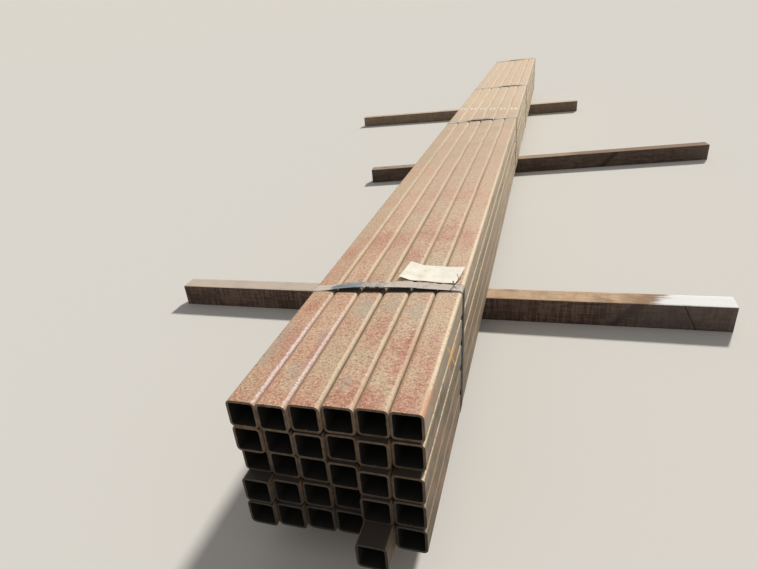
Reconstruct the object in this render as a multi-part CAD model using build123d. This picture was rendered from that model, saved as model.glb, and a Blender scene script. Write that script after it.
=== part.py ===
import math
import os

from build123d import *

os.makedirs("parts", exist_ok=True)

# A bundle of square steel tubing on three timbers: five rows of six hollow tubes, four flat
# steel straps with crimped seals, and a paper tag wired to the first strap.
# Millimetres. +Z is up, +Y runs along the tubes from the near ends to the far ends.

# tube section and stock length
tube_size = 76.2
tube_wall = 6.35
tube_corner_outer = 12.7
tube_corner_inner = 6.35
tube_length = 7315.2
seam_high = 1.6
seam_wide = 4.0

# how the tubes lie: rest of one row on the next, slack between neighbours in a row
columns = 6
rows = 5
row_rest = 0.3
side_slack = [
    [1.0, 0.6, 0.7, 0.9, 0.8],
    [0.8, 1.4, 0.5, 0.7, 0.6],
    [0.5, 0.7, 0.6, 0.7, 1.5],
    [1.6, 0.6, 0.5, 0.5, 0.8],
    [0.4, 0.5, 1.8, 0.6, 0.7],
]

# how far each near end stands back from the common line (minus is out), lowest row first
near_offset = [
    [-20.0, -11.5, -2.5, 2.0, -84.0, -13.5],
    [-18.5, -5.5, 1.5, 10.5, -17.5, -10.0],
    [12.0, 8.5, 9.0, 3.0, -9.5, -7.0],
    [-3.0, 2.0, 2.5, 12.0, 5.5, 16.0],
    [-4.5, -4.5, 7.0, 15.5, 21.0, 21.5],
]

# what each tube was cut over its stock length
over_length = [
    [3.0, 1.5, 4.0, 2.0, 5.0, 2.5],
    [2.0, 4.5, 1.0, 3.5, 3.0, 5.5],
    [1.0, 3.5, 2.5, 5.0, 1.5, 4.0],
    [4.0, 2.0, 5.0, 1.5, 3.0, 2.5],
    [2.5, 5.0, 3.0, 1.0, 4.5, 2.0],
]

# timbers under the bundle
bearer_width = 95.0
bearer_height = 105.0
bearer_length = 2438.4
bearer_edge = 2.5
bearer_rest = 0.3
# the first two measured from the near ends, the last one from the far ends
bearer_from_near = [1325.0, 3680.0]
bearer_from_far = 1050.0
bearer_past_right = [902.0, 1291.0, 483.0]
bearer_turn = [-0.3, 7.0, 0.1]

# straps: place of the middle of the top run, the first three from the near ends and the last
# from the far ends, and slant per mm of width and of height
strap_width = 38.1
strap_thick = 0.9
strap_fit = 0.3
strap_from_near = [608.0, 3280.0, 4865.0]
strap_from_far = 150.0
strap_slant_x = [0.077, 0.120, -0.030, 0.050]
strap_slant_z = [0.240, 0.030, -0.040, 0.020]

# the bow of the top run off the tubes: level across the seal for this far each way, then
# sloping over this share of what is left of the run on the left and on the right
bow_rise = [10.0, 3.0, 2.6, 2.2]
bow_level = 62.0
bow_slope_left = [0.95, 0.45, 0.23, 0.36]
bow_slope_right = [1.0, 0.45, 1.0, 0.41]
# the angle at which the top run leaves the right-hand corner
bow_lift_angle = [3.0, 0.0, 0.0, 0.0]

# crimped seals, measured from the bundle's right side to the middle of each
seal_from_right = [270.0, 232.0, 128.0, 222.0]
seal_length = 70.0
seal_wall = 0.8
seal_fit = 0.15
seal_side_fit = 0.4
crimp_mouth = 12.0
crimp_floor = 7.0
crimp_depth = 4.5
crimp_pitch = 30.0
# the strap's ends, measured from the middle of the seal
lap_gap = 0.12
lap_end_under = 48.0
lap_end_over = [136.0, 96.0, 82.0, 90.0]
lap_climb = 30.0

# paper tag behind strap 1
tag_wide = 180.0
tag_deep = 112.0
tag_thick = 0.5
tag_from_right = 109.0
tag_behind_strap = 22.8
tag_turn = -8.0
tag_hole = 6.0
tag_hole_in_side = 9.0
tag_hole_in_front = 10.0
# height of the tag's underside over the tubes, from its left edge to its right edge
tag_wave = [9.4, 0.6, 2.0, 0.7, 3.4]
tag_folds = 14

# wire through the tag's hole and round the strap, six-sided for its round section
wire_thick = 0.7
wire_rest = 0.3
wire_past_strap = 3.0
wire_ends_long = 24.0
wire_ends_apart = 0.2
wire_end_bend = 1.2

bundle_wide = columns * tube_size + max(sum(slacks) for slacks in side_slack)
bundle_high = rows * tube_size + (rows - 1) * row_rest
half_wide = bundle_wide / 2
bundle_base = bearer_height + bearer_rest
bundle_top = bundle_base + bundle_high
strap_place = strap_from_near + [tube_length - strap_from_far]
bearer_front = bearer_from_near + [tube_length - bearer_from_far - bearer_width]


def make_tube(length, seam_turn):
    """One hollow tube with its near end at Y 0, centred on X and Z, its weld bead inside."""
    section = RectangleRounded(tube_size, tube_size, tube_corner_outer)
    inside = tube_size - 2 * tube_wall
    section -= RectangleRounded(inside, inside, tube_corner_inner)
    foot = seam_wide / 2
    crown = seam_wide / 5
    bead = Polygon(
        (-foot, -seam_high), (foot, -seam_high), (foot, 0), (crown, seam_high),
        (-crown, seam_high), (-foot, 0), align=None,
    )
    section += Rot(0, 0, seam_turn) * Pos(0, -inside / 2) * bead
    return extrude(Plane.XZ.location * section, length, dir=(0, 1, 0))


def make_row(row):
    """The tubes of one row, side by side with their own slack and end offsets."""
    tubes = []
    x = -(columns * tube_size + sum(side_slack[row]) - tube_size) / 2
    z = bundle_base + tube_size / 2 + row * (tube_size + row_rest)
    for column in range(columns):
        seam_turn = 90 * ((row + 2 * column + column // 3) % 4)
        tube = make_tube(tube_length + over_length[row][column], seam_turn)
        tubes.append(Pos(x, near_offset[row][column], z) * tube)
        if column < columns - 1:
            x += tube_size + side_slack[row][column]
    return tubes


def make_bearer(index):
    """A sawn timber across the bundle, its long edges slightly broken."""
    timber = Box(bearer_length, bearer_width, bearer_height)
    timber = chamfer(timber.edges().filter_by(Axis.X), bearer_edge)
    x = half_wide + bearer_past_right[index] - bearer_length / 2
    y = bearer_front[index] + bearer_width / 2
    at_bundle = Pos(0, y, bearer_height / 2) * Rot(0, 0, bearer_turn[index])
    return at_bundle * Pos(x, 0, 0) * timber


def smooth(t):
    """0 to 1 with level ends."""
    t = max(0.0, min(1.0, t))
    return t * t * (3 - 2 * t)


def seal_x(index):
    """X of the middle of a seal."""
    return half_wide - seal_from_right[index]


def lift_point(index, radius):
    """Where the top run leaves the right-hand corner, in X and Z."""
    angle = math.radians(bow_lift_angle[index])
    x = half_wide - tube_corner_outer + radius * math.sin(angle)
    z = bundle_top - tube_corner_outer + radius * math.cos(angle)
    return x, z


def run_height(index, x):
    """Underside of the strap's lower layer along the top run."""
    flat = bundle_top + strap_fit
    if x < seal_x(index):
        start = seal_x(index) - bow_level
        reach = bow_slope_left[index] * (start + half_wide - tube_corner_outer)
        return flat + bow_rise[index] * (1 - smooth((start - x) / reach))
    corner_x, corner_z = lift_point(index, tube_corner_outer + strap_fit)
    start = seal_x(index) + bow_level
    reach = bow_slope_right[index] * (corner_x - start)
    t = max(0.0, min(1.0, (x - start) / reach))
    slope = -math.tan(math.radians(bow_lift_angle[index])) * reach
    base = corner_z if bow_lift_angle[index] else flat
    rise = flat + bow_rise[index] - base
    return base + rise * (1 - smooth(t)) + slope * (t - 1) * t * t


def steps(start, stop, count):
    """Evenly spaced values with both ends."""
    return [start + (stop - start) * k / count for k in range(count + 1)]


def run_spline(points, fall=0.0):
    """A curve in the XZ plane that starts level and ends level or falling by an angle."""
    angle = math.radians(fall)
    points = [(p[0], 0, p[1]) for p in points]
    return Spline(*points, tangents=[(1, 0, 0), (math.cos(angle), 0, -math.sin(angle))])


def turn(center, radius, start, stop):
    """An arc in the XZ plane between two angles."""
    ends = []
    for angle in (start, (start + stop) / 2, stop):
        a = math.radians(angle)
        ends.append((center[0] + radius * math.cos(a), 0, center[1] + radius * math.sin(a)))
    return ThreePointArc(*ends)


def strap_outline(index):
    """The strap's closed outline seen along the tubes: one turn with lapped ends on top."""
    x_seal = seal_x(index)
    x_under = x_seal - lap_end_under
    x_over = x_seal + lap_end_over[index]
    x_climb = x_under - lap_climb
    right = half_wide - tube_corner_outer
    low = bundle_base + tube_corner_outer
    high = bundle_top - tube_corner_outer
    lift = strap_thick + lap_gap

    level = bundle_top + strap_fit + bow_rise[index]
    x_level = x_seal + bow_level

    def lapped(x):
        return run_height(index, x) + lift * smooth((x - x_climb) / lap_climb)

    def lower_run(by):
        corner = lift_point(index, tube_corner_outer + strap_fit + by)
        places = steps(x_level, corner[0], 5)[:-1]
        return [(x, run_height(index, x) + by) for x in places] + [corner]

    def upper_run(by):
        places = steps(-right, x_climb, 4) + steps(x_climb, x_under, 2)[1:]
        return [(x, lapped(x) + by) for x in places]

    def tail(by):
        places = steps(x_level, x_over, 3)
        return Spline(*[(x, 0, run_height(index, x) + lift + by) for x in places])

    def turn_round(radius):
        return [
            turn((right, high), radius, 90 - bow_lift_angle[index], 0),
            turn((right, low), radius, 0, -90),
            turn((-right, low), radius, -90, -180),
            turn((-right, high), radius, 180, 90),
        ]

    def straights(radius):
        return [
            Line((right + radius, 0, high), (right + radius, 0, low)),
            Line((right, 0, low - radius), (-right, 0, low - radius)),
            Line((-right - radius, 0, low), (-right - radius, 0, high)),
        ]

    inner_radius = tube_corner_outer + strap_fit
    outer_radius = inner_radius + strap_thick
    edges = []
    for radius, by in ((outer_radius, strap_thick), (inner_radius, 0.0)):
        edges.append(Line((x_under, 0, level + by), (x_level, 0, level + by)))
        edges.append(run_spline(lower_run(by), bow_lift_angle[index]))
        edges += turn_round(radius)
        edges += straights(radius)
        edges.append(run_spline(upper_run(by)))
        edges.append(Line((x_under, 0, level + lift + by), (x_level, 0, level + lift + by)))
        edges.append(tail(by))
    for x, z in ((x_under, level), (x_over, run_height(index, x_over) + lift)):
        edges.append(Line((x, 0, z), (x, 0, z + strap_thick)))
    return make_face(Wire(edges))


def strap_slab(index):
    """The slanted slice of space that gives the strap its width and direction."""
    bx = strap_slant_x[index]
    cz = strap_slant_z[index]
    depth = strap_width * math.sqrt(1 + bx * bx) / math.sqrt(1 + bx * bx + cz * cz)
    middle = Plane(
        origin=(0, strap_place[index], bundle_top),
        x_dir=(1, bx, 0),
        z_dir=(-bx, 1, -cz),
    )
    return extrude(middle * Rectangle(4 * bundle_wide, 4 * bundle_high), depth / 2, both=True)


def seal_frame(index):
    """The seal's place: X along the strap, Y across it, Z from the lower layer's underside."""
    x = seal_x(index)
    z = run_height(index, x)
    rise = z + strap_thick - bundle_top
    y = strap_place[index] + strap_slant_x[index] * x + strap_slant_z[index] * rise
    turn = math.degrees(math.atan(strap_slant_x[index]))
    return Pos(x, y, z) * Rot(0, 0, turn)


def crimp_cutter(index):
    """Two notches on each edge of the seal that bite into the strap as well."""
    edge = strap_width / 2 + seal_side_fit + seal_wall
    through = 4 * (2 * strap_thick + lap_gap + 2 * seal_fit + 2 * seal_wall)
    floor = crimp_floor / 2
    mouth = crimp_mouth / 2
    tools = []
    for along in (-crimp_pitch / 2, crimp_pitch / 2):
        for side in (-1, 1):
            notch = Polygon(
                (along - floor, side * (edge - crimp_depth)),
                (along + floor, side * (edge - crimp_depth)),
                (along + mouth, side * edge),
                (along + mouth, side * (edge + seal_wall)),
                (along - mouth, side * (edge + seal_wall)),
                (along - mouth, side * edge),
                align=None,
            )
            tools.append(extrude(notch, through / 2, both=True))
    return seal_frame(index) * Compound(children=tools)


def make_seal(index):
    """A folded sleeve round both layers of the strap."""
    stack = 2 * strap_thick + lap_gap
    inside_high = stack + 2 * seal_fit
    inside_wide = strap_width + 2 * seal_side_fit
    sleeve = Box(seal_length, inside_wide + 2 * seal_wall, inside_high + 2 * seal_wall)
    sleeve -= Box(2 * seal_length, inside_wide, inside_high)
    sleeve = seal_frame(index) * Pos(0, 0, stack / 2) * sleeve
    return sleeve - crimp_cutter(index)


def make_strap(index):
    """One band: the outline drawn out along the tubes, sliced on the slant, then crimped."""
    lean = bundle_wide * abs(strap_slant_x[index]) + bundle_high * abs(strap_slant_z[index])
    reach = 2 * (strap_width + lean)
    start = strap_place[index] - reach / 2
    band = extrude(Pos(0, start, 0) * strap_outline(index), reach, dir=(0, 1, 0))
    return (band & strap_slab(index)) - crimp_cutter(index)


def tag_frame():
    """The tag's middle on the bundle's top face."""
    x = half_wide - tag_from_right
    edge = strap_place[0] + strap_slant_x[0] * (x + tag_wide / 2) + strap_width / 2
    return Pos(x, edge + tag_behind_strap + tag_deep / 2, bundle_top) * Rot(0, 0, tag_turn)


def tag_points(by):
    """The tag's profile from its left edge to its right edge, in short straight folds."""
    count = len(tag_wave) - 1
    heights = [(-tag_wide / 2 + tag_wide * k / count, 0, z) for k, z in enumerate(tag_wave)]
    curve = Spline(*heights)
    spots = [curve @ (k / tag_folds) for k in range(tag_folds + 1)]
    return [(spot.X, 0, spot.Z + by) for spot in spots]


def tag_height(x):
    """Height of the tag's underside over the tubes."""
    spots = tag_points(0.0)
    return max(z for spot, _, z in spots if abs(spot - x) < tag_wide / tag_folds)


def make_tag():
    """A wavy sheet with one hole near its right front corner."""
    outline = tag_points(0.0) + tag_points(tag_thick)[::-1]
    sheet = make_face(Polyline(*outline, close=True))
    sheet = extrude(Pos(0, -tag_deep / 2, 0) * sheet, tag_deep, dir=(0, 1, 0))
    x = tag_wide / 2 - tag_hole_in_side
    y = -tag_deep / 2 + tag_hole_in_front
    sheet -= Pos(x, y, 0) * Cylinder(tag_hole / 2, 4 * max(tag_wave))
    return tag_frame() * sheet


def make_wire():
    """One wire through the hole and round the strap, its two ends standing side by side."""
    radius = wire_thick / 2
    hole = tag_frame() * Pos(
        tag_wide / 2 - tag_hole_in_side, -tag_deep / 2 + tag_hole_in_front, 0
    )
    x = hole.position.X
    back = hole.position.Y
    front = strap_place[0] + strap_slant_x[0] * x - strap_width / 2 - wire_past_strap
    low = (bundle_top + run_height(0, x)) / 2
    strap_top = run_height(0, x) + strap_thick
    tag_top = bundle_top + tag_height(tag_wide / 2 - tag_hole_in_side) + tag_thick
    high = max(strap_top, tag_top) + wire_rest + radius
    middle = (front + back) / 2
    side = wire_thick / 2 + wire_ends_apart / 2
    bend = 0.45 * (high - low)
    path = FilletPolyline(
        (x - side, middle, high + wire_ends_long),
        (x - side, middle, high),
        (x - side, back, high),
        (x - side / 2, back, low),
        (x + side / 2, front, low),
        (x + side, front, high),
        (x + side, middle, high),
        (x + side, middle, high + wire_ends_long),
        radius=[wire_end_bend, bend, bend, bend, bend, wire_end_bend],
    )
    start = Plane(origin=path @ 0, z_dir=path % 0)
    return sweep(start * RegularPolygon(radius, 6), path=path)


shapes = {}
for row in range(rows):
    shapes[f"tube_row_{row + 1}"] = make_row(row)
for index in range(len(bearer_front)):
    shapes[f"bearer_{index + 1}"] = [make_bearer(index)]
for index in range(len(strap_place)):
    shapes[f"strap_{index + 1}"] = [make_strap(index)]
    shapes[f"seal_{index + 1}"] = [make_seal(index)]
shapes["paper_tag"] = [make_tag()]
shapes["tag_wire"] = [make_wire()]

# the origin is the middle of the whole stack at floor level
outer = []
for name in shapes:
    if name.startswith("tube_row") or name.startswith("bearer"):
        outer += shapes[name]
box = Compound(children=outer).bounding_box()
middle = Pos(-(box.min.X + box.max.X) / 2, -(box.min.Y + box.max.Y) / 2, 0)

for name, solids in shapes.items():
    placed = []
    for solid in solids:
        placed += (middle * solid).solids()
    export_step(Compound(children=placed), f"parts/{name}.step")
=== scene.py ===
import math
import random
from functools import partial

import bmesh
import bpy
import numpy as np
from mathutils import Matrix, Vector, noise
from mathutils.geometry import delaunay_2d_cdt


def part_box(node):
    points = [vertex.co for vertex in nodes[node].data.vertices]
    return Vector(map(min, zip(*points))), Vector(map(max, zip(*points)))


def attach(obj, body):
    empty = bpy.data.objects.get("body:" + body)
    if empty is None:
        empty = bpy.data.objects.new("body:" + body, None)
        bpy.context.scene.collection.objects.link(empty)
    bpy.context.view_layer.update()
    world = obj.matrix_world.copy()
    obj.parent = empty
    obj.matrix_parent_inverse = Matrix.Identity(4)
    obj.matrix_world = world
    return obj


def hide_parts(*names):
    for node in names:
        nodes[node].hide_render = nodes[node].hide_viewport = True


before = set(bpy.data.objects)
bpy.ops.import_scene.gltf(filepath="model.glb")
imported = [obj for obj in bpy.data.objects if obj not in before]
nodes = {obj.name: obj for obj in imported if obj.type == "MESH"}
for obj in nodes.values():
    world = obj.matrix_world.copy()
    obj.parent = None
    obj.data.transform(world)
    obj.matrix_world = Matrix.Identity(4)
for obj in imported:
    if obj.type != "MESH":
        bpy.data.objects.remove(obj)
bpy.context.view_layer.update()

# A strapped bundle of square steel tubing on three sawn timbers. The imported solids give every
# size and place. Lengths are metres unless a name or a note says millimetres.

mm = 0.001
scene = bpy.context.scene
topLow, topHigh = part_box("tube_row_5")
bundle = {
    "middle": (topLow.x + topHigh.x) / 2,
    "near": topLow.y,
    "far": topHigh.y,
    "left": topLow.x,
    "right": topHigh.x,
    "top": topHigh.z,
}
print("frame loaded,", len(nodes), "solids")


# sRGB hex to the linear values that shaders take
def toLinear(hexColour):
    channels = [int(hexColour[k:k + 2], 16) / 255 for k in (1, 3, 5)]
    linear = (c / 12.92 if c < 0.04045 else ((c + 0.055) / 1.055) ** 2.4 for c in channels)
    return (*linear, 1.0)


# adds a node, sets it up, links what is a socket, and hands back its first live output. A list
# fills the live sockets in order: a Map Range reads value, from, from, to, to, and a Mix, which
# always mixes colours here, reads share, colour, colour
def addNode(tree, kind, inputs=(), operation=None, ramp=None, **settings):
    if not kind.startswith(("Geometry", "Function", "NodeGroup")):
        kind = "ShaderNode" + kind
    if kind == "ShaderNodeMix":
        settings["data_type"] = "RGBA"
    if operation:
        settings["operation"] = operation
    node = tree.nodes.new(kind)
    for name, value in settings.items():
        setattr(node, name, value)
    sockets = [socket for socket in node.inputs if socket.enabled]
    if isinstance(inputs, dict):
        named = {socket.name: socket for socket in sockets}
        sockets, inputs = [named[name] for name in inputs], inputs.values()
    for socket, value in zip(sockets, inputs):
        if isinstance(value, bpy.types.NodeSocket):
            tree.links.new(value, socket)
        elif isinstance(value, str) and value.startswith("#"):
            socket.default_value = toLinear(value)
        else:
            socket.default_value = value
    if ramp:
        stops = node.color_ramp.elements
        for stop, (place, shade) in zip(stops, (ramp[0], ramp[-1])):
            stop.position, stop.color = place, toLinear(shade)
        for place, shade in ramp[1:-1]:
            stops.new(place).color = toLinear(shade)
    return next((socket for socket in node.outputs if socket.enabled), node)


# an empty material, addNode for its tree, and the place on the piece that patterns follow
def newMaterial(name):
    material = bpy.data.materials.new(name)
    material.use_nodes = True
    material.node_tree.nodes.clear()
    add = partial(addNode, material.node_tree)
    return material, add, add("TexCoord").node.outputs["Object"]


# the patterns that a material follows, from its table: grain in mm along X, Y and Z, then
# detail and roughness
def makePatterns(add, place, table):
    made = {}
    for name, (*grain, detail, rough) in table.items():
        scale = [1 / (size * mm) for size in grain]
        drawn = add("Mapping", {"Vector": place, "Scale": scale})
        made[name] = add("TexNoise", {
            "Vector": drawn, "Scale": 1.0, "Detail": detail, "Roughness": rough,
        })
    return made


# the last nodes of a material: a fine bump where there is one, the shader and the output
def endMaterial(add, looks, height=None, bump=(0, 0)):
    if height:
        strength, deep = bump
        looks["Normal"] = add("Bump", {"Height": height, "Strength": strength, "Distance": deep})
    add("OutputMaterial", [add("BsdfPrincipled", looks)])


# an object for a finished mesh, at the origin
def placePiece(mesh):
    piece = bpy.data.objects.new(mesh.name, mesh)
    scene.collection.objects.link(piece)
    return piece


# a piece from a bmesh, smooth but for its sharp edges
def meshPiece(name, shell, material):
    mesh = bpy.data.meshes.new(name)
    shell.to_mesh(mesh)
    shell.free()
    mesh.set_sharp_from_angle(angle=math.radians(50))
    mesh.materials.append(material)
    return placePiece(mesh)


# camera at the photograph's place, measured from the middle of the near end on the floor
view = {
    "lens": 26.56,
    "sensor": 36,
    "shift": (0.070, 0.053),
    "place": (0.439, -0.883, 1.225),
    "turnDegrees": (61.46, 7.34, 19.67),
    "reach": 3000,
}


def makeCamera():
    data = bpy.data.cameras.new("camera")
    data.lens = view["lens"]
    data.sensor_width = view["sensor"]
    data.shift_x, data.shift_y = view["shift"]
    data.clip_end = view["reach"]
    camera = bpy.data.objects.new("camera", data)
    camera.location = Vector((bundle["middle"], bundle["near"], 0)) + Vector(view["place"])
    camera.rotation_euler = [math.radians(angle) for angle in view["turnDegrees"]]
    scene.collection.objects.link(camera)
    scene.camera = camera


makeCamera()
print("camera placed")


# soft daylight: a broad sun high behind on the right, and a pale sky
light = {
    "sunFrom": (0.24, 0.72, 0.65),
    "sunStrength": 3.2,
    "sunSoftDegrees": 5,
    "skyStrength": 0.34,
    "skyColour": "#eff2f8",
    "backdropStrength": 1.0,
    "backdropColour": "#dbd6cc",
    "floorColour": "#dfd9ce",
    "floorReach": 900,
}


def makeLight():
    sun = bpy.data.lights.new("sun", "SUN")
    sun.energy = light["sunStrength"]
    sun.angle = math.radians(light["sunSoftDegrees"])
    sunObject = bpy.data.objects.new("sun", sun)
    sunObject.rotation_euler = Vector(light["sunFrom"]).to_track_quat("Z", "Y").to_euler()
    scene.collection.objects.link(sunObject)

    world = bpy.data.worlds.new("sky")
    world.use_nodes = True
    scene.world = world
    world.node_tree.nodes.clear()
    add = partial(addNode, world.node_tree)
    rays = add("LightPath").node.outputs
    seen = add("Math", [rays["Is Camera Ray"], rays["Is Glossy Ray"]], "MAXIMUM")
    seen = add("Math", [seen, rays["Is Transmission Ray"]], "MAXIMUM")
    sky = add("Background", [light["skyColour"], light["skyStrength"]])
    backdrop = add("Background", [light["backdropColour"], light["backdropStrength"]])
    add("OutputWorld", [add("MixShader", [seen, sky, backdrop])])


def makeFloor():
    material, add, _ = newMaterial("studioFloorPaint")  # plain and matt: it keeps the shadows
    endMaterial(add, {
        "Base Color": light["floorColour"], "Roughness": 0.9, "Specular IOR Level": 0.0,
    })
    reach = light["floorReach"]
    mesh = bpy.data.meshes.new("studioFloor")
    corners = [(-reach, -reach, 0), (reach, -reach, 0), (reach, reach, 0), (-reach, reach, 0)]
    mesh.from_pydata(corners, [], [(0, 1, 2, 3)])
    mesh.materials.append(material)
    placePiece(mesh)


makeLight()
makeFloor()
scene.view_settings.view_transform = "Standard"
print("light and floor made")


# a place on the bundle, in millimetres from its middle, from its near ends and from the floor
def bundleSpot(fromMiddle, fromNear, up):
    return (bundle["middle"] + fromMiddle * mm, bundle["near"] + fromNear * mm, up * mm)


# an irregular spot round one place: 1 at its heart, 0 past its reach, its edge broken by a noise
def spotMask(add, place, ragged, heart, reach, breakUp):
    away = add("VectorMath", [place, heart], "SUBTRACT")
    away = add("VectorMath", [away, [r * mm for r in reach]], "DIVIDE")
    away = add("VectorMath", [away], "LENGTH")
    ragged = add("Math", [ragged, -0.5], "ADD")
    away = add("Math", [ragged, breakUp, away], "MULTIPLY_ADD")
    return add("MapRange", [away, 1.0, 0.55])


# hot rolled steel with its mill scale weathering: a dusty tan skin under a soft bloom of flash
# rust and its fine speckle, dark pits, and a pale line along each corner that faces the sun,
# partly wear and partly painted highlight; painted shade darkens the tops of lower rows, painted
# light lifts the shade in the grooves, and painted shadow lies beside the first strap
millScale = {
    "tanTop": "#d3b28d",
    "greyTop": "#c2a985",
    # painted shade: near black for the tops of lower rows under the rows above, partly
    # unweathered scale
    "hiddenTopScaleAndShade": "#131318",
    "bloom": "#c8886c",
    "rust": "#bb7159",
    "rustDeep": "#a35c49",
    "speck": "#7b5845",
    "fleck": "#f2dbb9",
    "sideLight": "#b6a890",
    "sideDark": "#574c3d",
    "sideOlive": "#7b7055",
    "sideLow": "#4f432f",
    # paler far sides: drifted dust with a painted sheen
    "sideFarDustAndSheen": "#dfccab",
    "sideRust": "#96694a",
    # painted highlight on the corners that face the sun, partly wear
    "rubbed": "#f6dfb8",
    # painted light, partly dust: lightens the shaded left-hand sides of the grooves, near white
    # deep in them further along
    "groove": "#c4a27f",
    "farDustAndLightInGroove": "#ecd8b9",
    "paintedLightDeepInGroove": "#fff3dc",
    "primer": "#edd5d0",
    "primerEdge": "#b58488",
    "chalk": "#f0e6d2",
    "bluish": "#a39b90",
    "orange": "#cf8f68",
    "wax": "#dca860",
    # painted shadow, with some dirt, beside the first strap
    "shadowAndDirtUnderStrap": "#1f1712",
    "dustAlong": (
        (0.0, "#d2b08c"), (0.2, "#cfae89"), (0.31, "#b39c7b"),
        (0.42, "#bda684"), (0.56, "#dec6a5"), (1.0, "#dac09e"),
    ),
    "patterns": {
        "patches": (150, 150, 150, 4.0, 0.62),
        "speckle": (10, 10, 10, 4.0, 0.75),
        "specks": (5.5, 5.5, 5.5, 1.5, 0.6),
        "streak": (12, 110, 12, 3.0, 0.7),
        "band": (34, 380, 34, 3.0, 0.6),
        "sweep": (150, 16, 150, 3.0, 0.6),
    },
    "slide": (37.0, 11.0, 23.0),  # from one tube's piece of the patterns to the next
    # each share: what it reads, where it begins, where it is full, then its least and most. Up
    # and rightwards are the face's direction; inward, along and down are metres from the right
    # side, from the near ends and from the top
    "shares": {
        "isTop": ("up", 0.35, 0.85),
        "upright": ("up", 0.12, 0.4),
        "deep": ("up", 0.9, 0.6),
        "deepest": ("up", 0.6, 0.2),
        "leaning": ("rightwards", 0.12, 0.35),
        "steep": ("rightwards", 0.96, 0.78),
        "groove": ("rightwards", -0.4, -0.85, 0, 0.9),
        "olive": ("band", 0.42, 0.58, 0, 0.6),
        "uneven": ("patches", 0.60, 0.40, 0.4, 1),
        "bloom": ("patches", 0.40, 0.66, 0, 0.45),
        "rubbed": ("speckle", 0.36, 0.56, 0.3, 0.9),
        "lower": ("down", 0.05, 0.22, 0, 0.6),
        "upper": ("down", 0.10, 0.04, 0, 0.55),
        "high": ("down", 0.24, 0.16, 0.25, 1),
        "filled": ("down", 0.03, 0.02, 0, 0.95),
        "further": ("along", 0.4, 3.4, 0, 0.95),
        "nearer": ("along", 0.5, 3.0, 1, 0.4),
        "ends": ("along", 0.075, 0.02, 0, 0.22),
        "dusty": ("along", 0.7, 4.0, 0, 0.9),
        "fading": ("along", 0.5, 3.0, 0.5, 0.08),
        "dulled": ("along", 0.9, 2.6, 1, 0.25),
        "inner": ("inward", 0.014, 0.020),
        "onSide": ("inward", 0.014, 0.010),
    },
    "greying": {"sweep": 1.6, "patches": -2.4},
    "streaks": (0.87, 1.16),
    "rustStreaks": (0.26, 0.34, 0, 0.65),
    "drifts": (0.82, 0.54, 0.45, 1),
    "driftPatches": 0.35,
    "dustOnRust": -0.6,
    "dottedLean": 0.3,
    "rustFrom": (0.44, 0.58, 0, 0.55),
    "speckFrom": (0.52, 0.62, 0, 0.6),
    "fleckFrom": (0.41, 0.31, 0, 0.5),
    "outerFrom": (0.020, 0.014),
    "liftedFrom": (0.055, 0.085),
    # the painted shadow beside the first strap: its edges, its shift nearer and how broken it is
    "strapShadowAndDirt": (0.0345, 0.029, 0, 0.93),
    "strapShadowNearer": 0.004,
    "strapShadowBreakUp": 0.008,
    "coveredBelow": 0.03,
    "hiddenTopShadeShare": 0.95,
    "rustLean": (0.16, -0.10),
    "rustShowing": -1.15,
    "roughness": (0.62, 0.97),
    "bump": (0.5, 0.5 * mm),
    # places in mm from the middle and from the near ends, and how far they reach each way
    "rustPatches": (
        (43, 350, 30, 120), (72, 70, 30, 60), (145, 250, 32, 170), (-187, 270, 34, 130),
        (-89, 250, 20, 120), (-193, 476, 26, 60), (33, 50, 34, 40), (108, 60, 32, 50),
        (184, 66, 34, 55), (200, 230, 27, 170), (-77, 690, 60, 45), (35, 850, 40, 100),
        (-100, 1010, 120, 120), (90, 1090, 130, 110), (190, 1010, 32, 120), (-195, 880, 30, 90),
        (60, 1560, 160, 120),
    ),
    "greyPatches": (
        (35, 115, 22, 45), (45, 510, 24, 45), (-30, 480, 28, 90), (-112, 150, 26, 70),
        (-99, 300, 20, 50), (-208, 250, 18, 160), (118, 475, 24, 50),
    ),
    "patchDeep": 12,
    "rustStrength": 0.33,
    "rustBreakUp": 0.9,
    "greyStrength": 0.32,
    "greyBreakUp": 1.4,
    # marks: how far each reaches in mm, how strong it is, and how broken its edge
    "markLooks": {
        "orange": ((9, 90, 16), 0.7, 3.2),
        "primerEdge": ((13, 60, 14), 0.32, 3.2),
        "primer": ((3.3, 70, 8), 0.66, 5.5),
        "chalk": ((11, 42, 8), 0.85, 3.2),
    },
    "orangeSpot": (226, 60, -8),
    "primerSeams": ((-153.0, 190), (-77.0, 200)),
    "primerAside": {"primerEdge": 6, "primer": 7},
    "dashes": (-204, -178, -128, -100, -52, -24, 22, 50, 98, 124, 174, 204),
    "dashesFromNear": 3735,
    "dashesSlant": -0.40,
    "waxStrokes": (  # from and to, in mm from the near ends and from the floor, and half width
        ((326, 470), (372, 425), 4.4),
        ((372, 425), (436, 345), 4.0),
        ((341, 408), (452, 398), 4.8),
    ),
    "waxShare": 0.8,
    "waxEdge": (1.6, 0.2),
    "waxBreakUp": 3 * mm,
    "pitDepth": 0.6,
}


# where a strap crosses the top faces: its middle at the bundle's middle, and its slant
def strapLine(index):
    points = np.array([vertex.co[:] for vertex in nodes[f"strap_{index + 1}"].data.vertices])
    points = points[points[:, 2] > bundle["top"]]
    slant, start = np.polyfit(points[:, 0] - bundle["middle"], points[:, 1], 1)
    return float(start), float(slant)


# marks that lie at one place: what they are, in mm from the middle, from the near ends and
# from the top, and how much longer they are than others of their kind
def steelMarks(v):
    marks = [("orange", *v["orangeSpot"], 0)]
    for across, reach in v["primerSeams"]:
        for name, aside in v["primerAside"].items():
            marks.append((name, across - aside, reach, -2, reach))
    for across in v["dashes"]:
        fromNear = v["dashesFromNear"] + v["dashesSlant"] * across
        marks.append(("chalk", across, fromNear, 0, 0))
    return marks


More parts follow.
